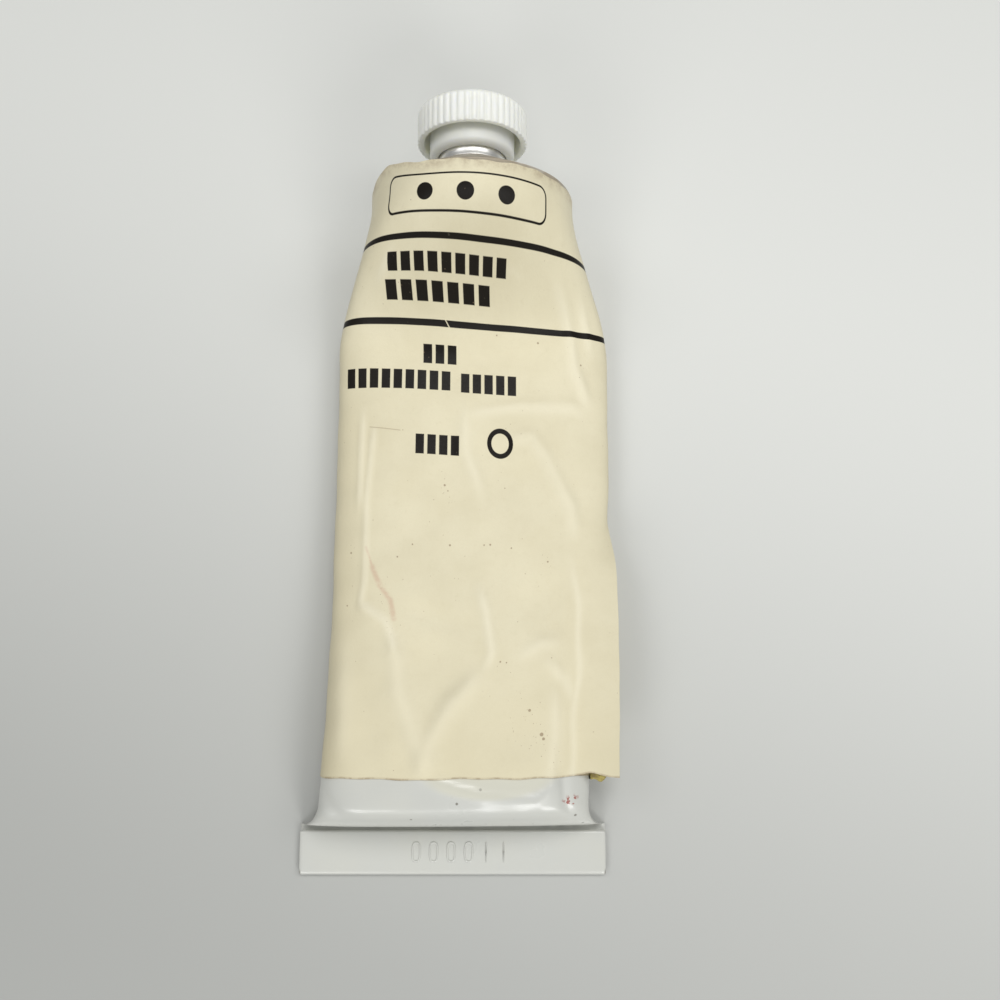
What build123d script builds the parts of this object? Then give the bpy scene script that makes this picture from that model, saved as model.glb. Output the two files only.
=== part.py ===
from build123d import *
import os
from math import cos, pi, radians, sin

# A half-used paint tube of soft aluminium, lying on its back. Units are millimetres.
# +Y runs along the neck towards the cap, +Z is up, and the tube lies on Z = 0.
# The sizes below count Y from the folded end. Everything is moved at the end, so that
# the origin is under the middle of the whole tube.

# --- driving dimensions ---------------------------------------------------------------
# Tube body: drawn round, pressed flatter in use, and fully flat at the fold
tube_diameter = 28.0
wall = 0.15
shoulder_at = 95.0           # folded end to the shoulder's edge
rim_length = 2.0             # stretch behind the shoulder that stays truly round
press_length = 19.0          # stretch over which the round end goes down to the waist
press_sharpness = 1.3        # over 1: most of the change lies near the round end
waist_length = 16.0
waist_thickness = 7.8        # the pressed middle
heel_thickness = 11.0        # the swelling just above the fold
heel_length = 4.0            # ledge to the fullest part of the swelling
neck_shift = 2.8             # how far the neck has drifted sideways from the fold's middle
shift_length = 58.0          # the stretch over which it drifts

# Fold that closes the tube: the flattened end turned over twice
fold_width = 6.2
fold_gap = 0.10              # air between two turns of the fold
ledge = 0.8                  # flat metal between the fold and the swelling
tuck = 1.5                   # how far the fold's hidden end stops short of its outer bend

# Shoulder and neck, bare metal
shoulder_rise = 5.2          # height of the shoulder's cone
shoulder_wall = 0.5
shoulder_step = 0.02         # how far the shoulder's edge stands proud of the body, and its
                             # inside stands back from it
neck_radius = 4.7            # over the thread's crests
neck_length = 6.85
neck_bore = 3.0              # radius of the orifice
lip_radius = 0.3

# Paper label: wraps the body once, and its end has come unstuck low on the right
label_thickness = 0.12
glue_gap = 0.05
label_lift = 0.01            # its underside above the table, so that the flat fold rests first
bare_heel = 3.6              # metal left bare between the swelling's fullest part and the label
bare_rim = 0.2               # and between the label and the shoulder's edge
flap_length = 35.4           # how far up from the label's low edge the loose end reaches
flap_opening = 3.5           # stretch at its top over which it comes clear of the body
flap_stand_low = 4.0         # how far the loose end stands out past the body, at its low corner
flap_stand_high = 0.9        # and where it has just come clear
flap_edge_height = 5.0       # the loose edge above the table
flap_root_angle = 28.0       # where it leaves the body, in degrees above the side
flap_root_depth = 1.5        # how far its root runs on inside the body, where it is cut away

# Cap: one moulding, a ribbed skirt around a longer threaded socket
cap_length = 7.0             # socket's mouth to the closed end
skirt_length = 4.7
skirt_wall = 1.0             # over the ribs
skirt_gap = 0.8              # between the skirt and the socket
socket_wall = 1.15
socket_clearance = 0.2       # all round the neck
cap_lid = 1.2
cap_edge_radius = 0.5
rib_count = 48
rib_depth = 0.28
groove_radius = 0.34
seat_gap = 0.05              # between the neck's lip and the inside of the lid

# Paint left in the tube
paint_gap = 0.05             # between the paint and the metal
paint_below_lip = 0.8

# --- worked out from them ---------------------------------------------------------------
metal_height = label_thickness + glue_gap + label_lift   # the body's underside above the table
axis_height = metal_height + tube_diameter / 2
strip = 2 * wall                                     # two walls pressed together
flat_width = strip + pi * (tube_diameter - strip) / 2
fold_height = 3 * strip + 2 * fold_gap
heel_from = fold_width + ledge
heel_at = heel_from + heel_length
label_from = heel_at + bare_heel
label_to = shoulder_at - bare_rim
flap_to = label_from + flap_length
round_from = shoulder_at - rim_length
waist_to = round_from - press_length
waist_from = waist_to - waist_length
neck_at = shoulder_at + shoulder_rise
lip_at = neck_at + neck_length
cap_end = lip_at + seat_gap + cap_lid
cap_mouth = cap_end - cap_length
skirt_mouth = cap_end - skirt_length
socket_bore = neck_radius + socket_clearance
socket_radius = socket_bore + socket_wall
cap_radius = socket_radius + skirt_gap + skirt_wall      # over the ribs
points_per_side = 5          # of each of the four curves that make one outline of the body


def ease(t):
    """From 0 to 1 with level ends."""
    t = min(max(t, 0.0), 1.0)
    return t * t * (3 - 2 * t)


def swell(y):
    """From 0 at the ledge to 1 at the fullest part of the heel, rising like a quarter of an ellipse."""
    t = min((y - heel_from) / heel_length, 1.0)
    return (1 - (1 - t) ** 2) ** 0.5


def thickness(y):
    """Height of the pressed body at y."""
    if y < heel_at:
        return strip + (heel_thickness - strip) * swell(y)
    if y < waist_from:
        t = ease((y - heel_at) / (waist_from - heel_at))
        return heel_thickness + (waist_thickness - heel_thickness) * t
    t = ease((y - waist_to) / press_length) ** press_sharpness
    return waist_thickness + (tube_diameter - waist_thickness) * t


def middle_x(y):
    """Sideways drift of the body's middle at y, most of it near the fold."""
    t = min((y - heel_from) / shift_length, 1.0)
    return neck_shift * t * (2 - t)


def half_width(y):
    """Half the body's width at y: the way round it stays what it was when the tube was round."""
    height = thickness(y)
    return (height + pi * (tube_diameter - height) / 2) / 2


def outline_point(y, angle, grow):
    """(x, z) on the body's outline at y, angle degrees up from the right side, moved out by grow."""
    height = thickness(y)
    flatness = 1 - height / tube_diameter
    below = height * (0.5 - 0.1 * flatness)
    c, s = cos(radians(angle)), sin(radians(angle))
    squareness = 2 + (1.6 if s < 0 else 0.9) * flatness
    depth = grow + (below if s < 0 else height - below)
    x = (half_width(y) + grow) * abs(c) ** (2 / squareness) * (1 if c > 0 else -1)
    z = depth * abs(s) ** (2 / squareness) * (1 if s > 0 else -1)
    return middle_x(y) + x, metal_height * swell(y) + below + z


def outline(y, grow, shift=0.0):
    """Closed outline of the body at y, under, right, over and left, drawn at y + shift."""
    sides = []
    for start in (225, 315, 45, 135):
        angles = [start + 90 * i / (points_per_side - 1) for i in range(points_per_side)]
        places = [outline_point(y, angle, grow) for angle in angles]
        sides.append(Edge.make_spline([Vector(x, y + shift, z) for x, z in places]))
    return Wire(sides)


def strip_outline():
    """Outline where the flat strip opens into the body: a rectangle two walls thick."""
    half = flat_width / 2
    corners = [(-half, 0), (half, 0), (half, strip), (-half, strip)]
    return Wire(Polyline(*[(x, heel_from, z) for x, z in corners], close=True).edges())


def body_solid(grow=0.0, end=shoulder_at, from_strip=False):
    """Solid through the body's outlines from its heel to end, its surface moved out by grow."""
    inset = max(-grow, 0.0)
    heel = [heel_from + heel_length * t for t in (0.03, 0.08, 0.16, 0.28, 0.44, 0.68, 1.0)]
    middle = [heel_at + (waist_from - heel_at) * t / 6 for t in range(1, 7)]
    press = [waist_to + press_length * t / 10 for t in range(11)]
    outlines = [outline(y, grow, inset) for y in heel]
    outlines += [outline(y, grow) for y in (*middle, *press, end)]
    if from_strip:
        outlines.insert(0, strip_outline())
    return Solid.make_loft(outlines, ruled=True)


def turned(profile):
    """Solid turned about the neck's axis, from the (radius, y) corners of its half section."""
    face = make_face(Polyline(*profile, close=True))
    return Pos(neck_shift, 0, axis_height) * revolve(face, Axis.Y)


def fold():
    """The flattened end turned over twice, as one bent strip."""
    outer, inner = fold_height / 2, strip + fold_gap / 2
    turn = fold_width - inner
    low, high = strip + fold_gap, 2 * strip + fold_gap
    top_under = fold_height - strip
    edges = [
        Line((heel_from, 0), (outer, 0)),
        ThreePointArc((outer, 0), (0, outer), (outer, fold_height)),
        Line((outer, fold_height), (turn, fold_height)),
        ThreePointArc((turn, fold_height), (fold_width, fold_height - inner), (turn, low)),
        Line((turn, low), (outer + tuck, low)),
        Line((outer + tuck, low), (outer + tuck, high)),
        Line((outer + tuck, high), (turn, high)),
        ThreePointArc((turn, high), (turn + fold_gap / 2, high + fold_gap / 2), (turn, top_under)),
        Line((turn, top_under), (outer, top_under)),
        ThreePointArc((outer, top_under), (strip, outer), (outer, strip)),
        Line((outer, strip), (heel_from, strip)),
        Line((heel_from, strip), (heel_from, 0)),
    ]
    profile = Plane.YZ * make_face(Wire(Curve(edges).edges()))
    return extrude(profile, amount=flat_width / 2, both=True)


def cavity(gap=0.0):
    """The space inside the body and shoulder, drawn in all round by gap."""
    inset = wall + gap
    base, apex = shoulder_at - shoulder_wall - gap, neck_at - shoulder_wall - gap
    radius = tube_diameter / 2 - inset - shoulder_step
    cone = turned([(0, base), (radius, base), (neck_bore - gap, apex), (0, apex)])
    return body_solid(-inset, base) + cone


def orifice(end, gap=0.0):
    """The hole through the neck, from inside the shoulder to end, drawn in all round by gap."""
    start = neck_at - 2 * shoulder_wall - gap
    return turned([(0, start), (neck_bore - gap, start), (neck_bore - gap, end), (0, end)])


def tube():
    """Body, fold, shoulder and neck: one piece of metal."""
    edge = tube_diameter / 2 + shoulder_step
    shoulder = turned([
        (0, shoulder_at), (edge, shoulder_at), (neck_radius, neck_at),
        (neck_radius, lip_at - lip_radius), (neck_radius - lip_radius, lip_at), (0, lip_at),
    ])
    outside = body_solid(from_strip=True) + fold() + shoulder
    return outside - cavity() - orifice(lip_at + 1)


def paint():
    """What is left of the paint: it fills the body, the shoulder and most of the neck."""
    return cavity(paint_gap) + orifice(lip_at - paint_below_lip, paint_gap)


def flap_outline(y, stand):
    """Cut through the loose end at y, its root sunk in the body and its edge stand beyond the side."""
    root_x, root_z = outline_point(y, flap_root_angle, 0)
    edge = Vector(middle_x(y) + half_width(y) + stand, y, flap_edge_height)
    along = (edge - Vector(root_x, y, root_z)).normalized()
    root = Vector(root_x, y, root_z) - along * flap_root_depth
    thick = Vector(along.Z, 0, -along.X) * label_thickness
    return Wire(Polyline(root, edge, edge + thick, root + thick, close=True).edges())


def label():
    """Paper wrap, glued down all round except for its loose end."""
    low, high = label_from - 1, flap_to - flap_opening
    loose = Solid.make_loft(
        [
            flap_outline(low, flap_stand_low),
            flap_outline((low + high) / 2, (flap_stand_low + flap_stand_high) / 2),
            flap_outline(high, flap_stand_high),
            flap_outline(flap_to, -flap_root_depth),
        ],
        ruled=True,
    )
    paper = body_solid(glue_gap + label_thickness) + loose - body_solid(glue_gap)
    length = label_to - label_from
    stretch = Pos(0, label_from + length / 2, axis_height) * Box(3 * flat_width, length, 3 * tube_diameter)
    return paper & stretch


def cap():
    """Ribbed skirt, lid and longer threaded socket, moulded as one."""
    lid_inside = cap_end - cap_lid
    skirt_inside = cap_radius - skirt_wall
    solid = turned([
        (0, cap_end), (cap_radius, cap_end), (cap_radius, skirt_mouth), (skirt_inside, skirt_mouth),
        (skirt_inside, lid_inside), (socket_radius, lid_inside), (socket_radius, cap_mouth),
        (socket_bore, cap_mouth), (socket_bore, lid_inside), (0, lid_inside),
    ])
    rim = solid.edges().filter_by(GeomType.CIRCLE).group_by(Axis.Y)[-1]
    solid = fillet(rim, cap_edge_radius)
    groove = Cylinder(groove_radius, 2 * cap_length, rotation=(90, 0, 0))
    out = cap_radius - rib_depth + groove_radius
    grooves = [
        Pos(neck_shift, cap_end, axis_height) * Rot(0, 360 * i / rib_count, 0) * Pos(out, 0, 0) * groove
        for i in range(rib_count)
    ]
    return solid - grooves


if __name__ == "__main__":
    os.makedirs("parts", exist_ok=True)
    shapes = {"tube": tube(), "paint": paint(), "label": label(), "cap": cap()}
    whole = Compound(list(shapes.values())).bounding_box()
    home = Pos(-whole.center().X, -whole.center().Y, -whole.min.Z)
    for name, shape in shapes.items():
        export_step(home * shape, f"parts/{name}.step")
    print("origin moved by", home.position)
    print("length, width, height", whole.size)
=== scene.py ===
import logging
import math
from dataclasses import dataclass
from enum import Enum
from functools import cached_property
from typing import Any, Callable, Sequence

import bmesh
import bpy
import numpy as np
from mathutils import Matrix, Vector


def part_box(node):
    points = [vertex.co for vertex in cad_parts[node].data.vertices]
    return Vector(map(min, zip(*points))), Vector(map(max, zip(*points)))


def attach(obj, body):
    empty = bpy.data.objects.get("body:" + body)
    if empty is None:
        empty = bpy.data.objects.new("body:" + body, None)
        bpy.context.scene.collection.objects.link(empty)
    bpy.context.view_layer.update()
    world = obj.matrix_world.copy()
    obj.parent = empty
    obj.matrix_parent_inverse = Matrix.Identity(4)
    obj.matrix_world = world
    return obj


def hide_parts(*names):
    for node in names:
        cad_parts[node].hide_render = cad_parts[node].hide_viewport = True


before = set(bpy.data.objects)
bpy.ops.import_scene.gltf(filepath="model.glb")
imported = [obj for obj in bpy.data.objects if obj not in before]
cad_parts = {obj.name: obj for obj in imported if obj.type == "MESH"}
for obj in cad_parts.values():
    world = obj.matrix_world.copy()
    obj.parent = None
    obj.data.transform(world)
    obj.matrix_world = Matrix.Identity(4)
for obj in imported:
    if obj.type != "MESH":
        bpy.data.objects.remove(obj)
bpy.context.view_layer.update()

# Looks of a half-used paint tube that lies flat: the pressed metal tube with its folded end, the
# worn paper label, the paint inside, and the ribbed screw cap. Sizes are millimetres, counted from
# the middle of the folded end: +Y runs to the cap, +Z is up. MM turns them into metres.

MM = 0.001
WELD = 1e-7
log = logging.getLogger("paint_tube")
Array = np.ndarray


class Body(Enum):
    """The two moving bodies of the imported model."""

    TUBE = "tube_body"
    CAP = "cap_body"


class Slot(Enum):
    """Material slots of the record."""

    METAL = "enamelled_metal"
    PAINT = "paint"
    PAPER = "label_paper"
    PLASTIC = "cap_plastic"


def ease(t: Any) -> Any:
    """From 0 to 1 with level ends, for numbers and arrays."""
    t = np.clip(t, 0.0, 1.0)
    return t * t * (3 - 2 * t)


def fade(value: Any, start: float, end: float) -> Any:
    """0 at start and 1 at end, whichever is the larger, with level ends."""
    return ease((value - start) / (end - start))


# --- the tube's form ------------------------------------------------------------------------


@dataclass(frozen=True)
class Crease:
    """A ridge or valley pressed into the skin along a line, which dies away at both ends.

    Attributes:
        points: the line's corners, as (distance round from the top's middle, distance along).
        rise: height of the ridge, negative for a valley.
        width: distance from the line at which it has nearly died away.
        taper: distance from each end over which it reaches its full height.
    """

    points: tuple[tuple[float, float], ...]
    rise: float
    width: float
    taper: float = 4.0

    def height(self, u: Array, v: Array) -> Array:
        """Height it adds at each place (u, v)."""
        nearest, run, length = np.full(u.shape, np.inf), np.zeros(u.shape), 0.0
        for (au, av), (bu, bv) in zip(self.points, self.points[1:]):
            du, dv = bu - au, bv - av
            t = np.clip(((u - au) * du + (v - av) * dv) / (du * du + dv * dv), 0, 1)
            away = np.hypot(u - au - t * du, v - av - t * dv)
            run = np.where(away < nearest, length + t * math.hypot(du, dv), run)
            nearest = np.minimum(nearest, away)
            length += math.hypot(du, dv)
        ends = fade(np.minimum(run, length - run), 0.0, min(self.taper, length / 2))
        return self.rise * ends * np.exp(-((2 * nearest / self.width) ** 2))


@dataclass(frozen=True)
class Dent:
    """A soft hollow, or a swelling where its depth is negative.

    Attributes:
        u: how far round from the top's middle it lies.
        v: how far along it lies.
        across: its half-width.
        along: its half-length.
        depth: how deep its middle is.
        turn: how far it is turned, in degrees.
    """

    u: float
    v: float
    across: float
    along: float
    depth: float
    turn: float = 0.0

    def height(self, u: Array, v: Array) -> Array:
        """Height it adds at each place (u, v)."""
        c, s = math.cos(math.radians(self.turn)), math.sin(math.radians(self.turn))
        du, dv = u - self.u, v - self.v
        r = np.hypot((du * c + dv * s) / self.across, (dv * c - du * s) / self.along)
        return -self.depth * (1 - ease(r))


@dataclass(frozen=True)
class TubeForm:
    """The pressed tube: its outline at each place along it, with dents and creases.

    Attributes:
        diameter: of the round end.
        wall: thickness of the metal.
        fold_width: length of the folded strip.
        fold_gap: between its layers.
        ledge: length of flat strip between the fold and the swelling.
        heel_length: length of the swelling above the fold.
        heel_thickness: height of the body where the swelling is full.
        shoulder_at: where the shoulder cone begins.
        rim_length: length of the truly round part before it.
        press_length: length over which the round part turns into the pressed one.
        press_sharpness: power that keeps it flat for longer, where it is over 1.
        waist_length: length of the flattest part.
        waist_thickness: its height.
        neck_shift: sideways drift of the neck.
        shift_length: length over which the body drifts that far.
        metal_height: height of the round part's underside above the table.
        lean: how much lower the pressed body's right side is.
        columns: faces round the tube.
        dents: dents and creases of the skin.
    """

    diameter: float = 28.0
    wall: float = 0.15
    fold_width: float = 6.2
    fold_gap: float = 0.10
    ledge: float = 0.8
    heel_length: float = 4.0
    heel_thickness: float = 11.0
    shoulder_at: float = 95.0
    rim_length: float = 2.0
    press_length: float = 19.0
    press_sharpness: float = 1.3
    waist_length: float = 16.0
    waist_thickness: float = 7.8
    neck_shift: float = 2.8
    shift_length: float = 58.0
    metal_height: float = 0.18
    lean: float = 1.1
    columns: int = 256
    dents: tuple[Any, ...] = ()

    @property
    def strip(self) -> float:
        """Two walls pressed together."""
        return 2 * self.wall

    @property
    def flat_width(self) -> float:
        """Width of the flattened end."""
        return self.strip + math.pi * (self.diameter - self.strip) / 2

    @property
    def girth(self) -> float:
        """The way round the tube, which pressing doesn't change."""
        return math.pi * self.diameter

    @property
    def heel_from(self) -> float:
        """Where the swelling above the fold begins."""
        return self.fold_width + self.ledge

    @property
    def heel_at(self) -> float:
        """Where the swelling is full."""
        return self.heel_from + self.heel_length

    @property
    def round_from(self) -> float:
        """Where the tube is truly round again."""
        return self.shoulder_at - self.rim_length

    @property
    def axis_height(self) -> float:
        """Height of the neck's axis."""
        return self.metal_height + self.diameter / 2

    def swell(self, y: float) -> float:
        """From 0 at the ledge to 1 at the fullest part of the heel."""
        t = min(max((y - self.heel_from) / self.heel_length, 0.0), 1.0)
        return math.sqrt(1 - (1 - t) ** 2)

    def thickness(self, y: float) -> float:
        """Height of the pressed body at y."""
        waist_to = self.round_from - self.press_length
        waist_from = waist_to - self.waist_length
        if y < self.heel_at:
            return self.strip + (self.heel_thickness - self.strip) * self.swell(y)
        if y < waist_from:
            t = ease((y - self.heel_at) / (waist_from - self.heel_at))
            return self.heel_thickness + (self.waist_thickness - self.heel_thickness) * t
        t = ease((y - waist_to) / self.press_length) ** self.press_sharpness
        return self.waist_thickness + (self.diameter - self.waist_thickness) * t

    def middle_x(self, y: float) -> float:
        """Sideways drift of the body's middle at y."""
        t = min(max((y - self.heel_from) / self.shift_length, 0.0), 1.0)
        return self.neck_shift * t * (2 - t)

    def outline(self, y: float, grow: float) -> Array:
        """Outline of the body at y.

        Args:
            y: distance along the tube.
            grow: how far the outline lies outside the metal.

        Returns:
            (x, z) at equal steps round from the underside's middle, right side first.
        """
        height = self.thickness(y)
        flatness = 1 - height / self.diameter
        half = (height + math.pi * (self.diameter - height) / 2) / 2
        below = height * (0.5 - 0.1 * flatness)
        angle = np.radians(np.linspace(-90, 270, 1441))
        c, s = np.cos(angle), np.sin(angle)
        square = 2 + np.where(s < 0, 1.6, 0.9) * flatness
        pressed = 4 * flatness * (1 - flatness)
        square = square + pressed * np.where((s > 0) & (c < 0), 0.5, 0.0) * np.abs(s * c)
        depth = grow + np.where(s < 0, below, height - below)
        x = (half + grow) * np.abs(c) ** (2 / square) * np.sign(c)
        z = depth * np.abs(s) ** (2 / square) * np.sign(s)
        z = z - self.lean * pressed * (x / half) * ease((z + below) / height)
        x, z = self.middle_x(y) + x, self.metal_height * self.swell(y) + below + z
        run = np.concatenate([[0], np.cumsum(np.hypot(np.diff(x), np.diff(z)))])
        return np.stack([x, z, run / run[-1]], 1)

    def ring(self, y: float, grow: float, share: Array) -> Array:
        """Points of the dented skin at y.

        Args:
            y: distance along the tube, the same for all, or one for each point.
            grow: how far they lie outside the metal.
            share: how far round each point is, from 0 under the tube to 1.

        Returns:
            (x, y, z) of each point.
        """
        table = self.outline(y, grow)
        share = np.mod(share, 1.0)
        x, z = (np.interp(share, table[:, 2], table[:, i]) for i in (0, 1))
        step = 0.004
        tx, tz = (
            np.interp(np.mod(share + step, 1.0), table[:, 2], table[:, i])
            - np.interp(np.mod(share - step, 1.0), table[:, 2], table[:, i])
            for i in (0, 1)
        )
        length = np.hypot(tx, tz) + 1e-9
        rise = self.relief((0.5 - share) * self.girth, np.full(share.shape, y))
        x, z = x + rise * tz / length, z - rise * tx / length
        return np.stack([x, np.full(x.shape, y), np.maximum(z, 0.0)], 1)

    def relief(self, u: Array, v: Array) -> Array:
        """Height of the dents and creases at each place (u, v)."""
        total = np.zeros(u.shape)
        for dent in self.dents:
            total = total + dent.height(u, v)
        wave = 0.10 * np.sin(0.31 * u + 0.17 * v + 1.0) * np.sin(0.23 * v - 0.12 * u + 0.4)
        wave = wave + 0.05 * np.sin(0.83 * u - 0.37 * v) * np.sin(0.61 * v + 0.29 * u + 2.0)
        inside = fade(v, self.heel_from, self.heel_at)
        inside = inside * (1 - fade(v, self.round_from - 6, self.round_from))
        by_crease = fade(u, 13.6, 15.4) * fade(v, 14.0, 16.0) * (1 - fade(v, 47.0, 52.0))
        return (total + wave) * inside * (1 - fade(np.abs(u), 26.0, 32.0)) * (1 - by_crease)

    def worn(self, u: Array, v: Array) -> Array:
        """How much each place (u, v) is lightened, from 0 to 1 on the sharpest ridges: partly rubbed
        paper, partly painted highlight.
        """
        total = np.zeros(u.shape)
        for dent in self.dents:
            if isinstance(dent, Crease) and dent.rise > 0:
                share = min(1 / dent.rise, 4.0) * min(1.3 / dent.width, 1.0)
                total = np.maximum(total, dent.height(u, v) * share)
        return np.clip(total, 0, 1)

    def fold_path(self) -> Array:
        """(y, z, heading) of the folded strip's middle, from its tucked end to the ledge."""
        outer = (3 * self.strip + 2 * self.fold_gap) / 2
        bend_out, bend_in = outer - self.strip / 2, (self.strip + self.fold_gap) / 2
        turn = self.fold_width - self.strip - self.fold_gap / 2
        levels = [self.strip / 2 + i * (self.strip + self.fold_gap) for i in range(3)]
        steps: list[tuple[float, float, float]] = []
        for y in np.linspace(outer + 1.5, turn, 6):
            steps.append((y, levels[1], 0.0))
        for a in np.linspace(0, math.pi, 9)[1:-1]:
            steps.append((turn + bend_in * math.sin(a), levels[1] + bend_in * (1 - math.cos(a)), a))
        for y in np.linspace(turn, outer, 14):
            steps.append((y, levels[2], math.pi))
        for a in np.linspace(0, math.pi, 11)[1:-1]:
            y, z = outer - bend_out * math.sin(a), levels[2] - bend_out * (1 - math.cos(a))
            steps.append((y, z, math.pi + a))
        for y in np.linspace(outer, self.heel_from, 12):
            steps.append((y, levels[0], 2 * math.pi))
        return np.array(steps)

    def strip_ring(self, y: float, z: float, heading: float, share: Array) -> Array:
        """Points round the flat strip, two walls thick, where its middle is at (y, z)."""
        half, thick = self.flat_width / 2, self.strip
        corners = np.cumsum([0, half, thick, 2 * half, thick, half])
        at = np.mod(share, 1.0) * corners[-1]
        x = np.interp(at, corners, [0, half, half, -half, -half, 0])
        side = np.interp(at, corners, [-1, -1, 1, 1, -1, -1]) * thick / 2
        return np.stack([x, y - side * math.sin(heading), z + side * math.cos(heading)], 1)


# --- mesh helpers ---------------------------------------------------------------------------


@dataclass(frozen=True)
class Place:
    """Where the tube's own frame sits in the model's frame."""

    home: Vector

    @classmethod
    def from_frame(cls, form: TubeForm) -> "Place":
        """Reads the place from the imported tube, whose folded end is its lowest x and y."""
        low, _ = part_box("tube")
        return cls(Vector((low.x + form.flat_width / 2 * MM, low.y, 0.0)))

    def points(self, co: Array) -> Array:
        """Points in millimetres moved to the model's frame, in metres."""
        return co * MM + np.array(self.home)


class Blank:
    """A flat sheet of quads that is shaped into a piece, as sheet metal or paper is."""

    def __init__(self, across: int, along: int) -> None:
        """Makes the sheet.

        Args:
            across: faces along its width.
            along: faces along its length.
        """
        self.bm = bmesh.new()
        bmesh.ops.create_grid(self.bm, x_segments=across, y_segments=along, size=0.5)
        self.bm.verts.ensure_lookup_table()
        flat = np.array([v.co[:2] for v in self.bm.verts]) + 0.5
        self.column = np.rint(flat[:, 0] * across).astype(int)
        self.row = np.rint(flat[:, 1] * along).astype(int)

    def map_uv(self, name: str, uv: Array) -> None:
        """Adds a map that gives each corner the (row, column) entry of uv."""
        layer = self.bm.loops.layers.uv.new(name)
        at = {v: i for i, v in enumerate(self.bm.verts)}
        for face in self.bm.faces:
            for loop in face.loops:
                i = at[loop.vert]
                loop[layer].uv = uv[self.row[i], self.column[i]]

    def shape(self, table: Array) -> None:
        """Moves each corner to the (row, column) entry of table."""
        for v, r, c in zip(self.bm.verts, self.row, self.column):
            v.co = table[r, c]


def weld(bm: bmesh.types.BMesh) -> None:
    """Merges the corners of a rolled sheet that lie on each other along its seam."""
    bmesh.ops.remove_doubles(bm, verts=bm.verts, dist=WELD)


def close_ends(bm: bmesh.types.BMesh) -> None:
    """Welds a rolled sheet into a hose and closes both its ends."""
    weld(bm)
    bmesh.ops.holes_fill(bm, edges=[e for e in bm.edges if e.is_boundary], sides=0)


def finish_mesh(bm: bmesh.types.BMesh, name: str, outward: bool = True) -> bpy.types.Object:
    """Turns a bmesh into a smooth piece.

    Args:
        bm: the mesh, in the model's frame, which is freed.
        name: the piece's name.
        outward: whether its faces are turned outwards.

    Returns:
        The new object, in the scene.
    """
    if outward:
        bmesh.ops.recalc_face_normals(bm, faces=bm.faces)
    for face in bm.faces:
        face.smooth = True
    mesh = bpy.data.meshes.new(name)
    bm.to_mesh(mesh)
    bm.free()
    piece = bpy.data.objects.new(name, mesh)
    bpy.context.scene.collection.objects.link(piece)
    return piece


def sharpen(piece: bpy.types.Object, degrees: float) -> None:
    """Marks the edges of a piece that turn by more than so many degrees as sharp."""
    piece.data.set_sharp_from_angle(angle=math.radians(degrees))


def thread_height(angle: Array, y: Array, start: float, end: float, pitch: float) -> Array:
    """Share of a right-hand thread's full height, from 0 at its root to 1 at its crest.

    Args:
        angle: radians about the neck's axis.
        y: place along it.
        start: where the thread begins to rise.
        end: where it has died away.
        pitch: how far it climbs in a turn.

    Returns:
        The height at each place.
    """
    turn = np.mod(y / pitch - angle / (2 * math.pi), 1.0)
    crest = ease((0.5 - np.abs(turn - 0.5)) * 3.2 - 0.35)
    return crest * fade(y, start, start + pitch) * (1 - fade(y, end - pitch / 2, end))


# --- the metal tube and the paint in it -----------------------------------------------------


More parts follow.
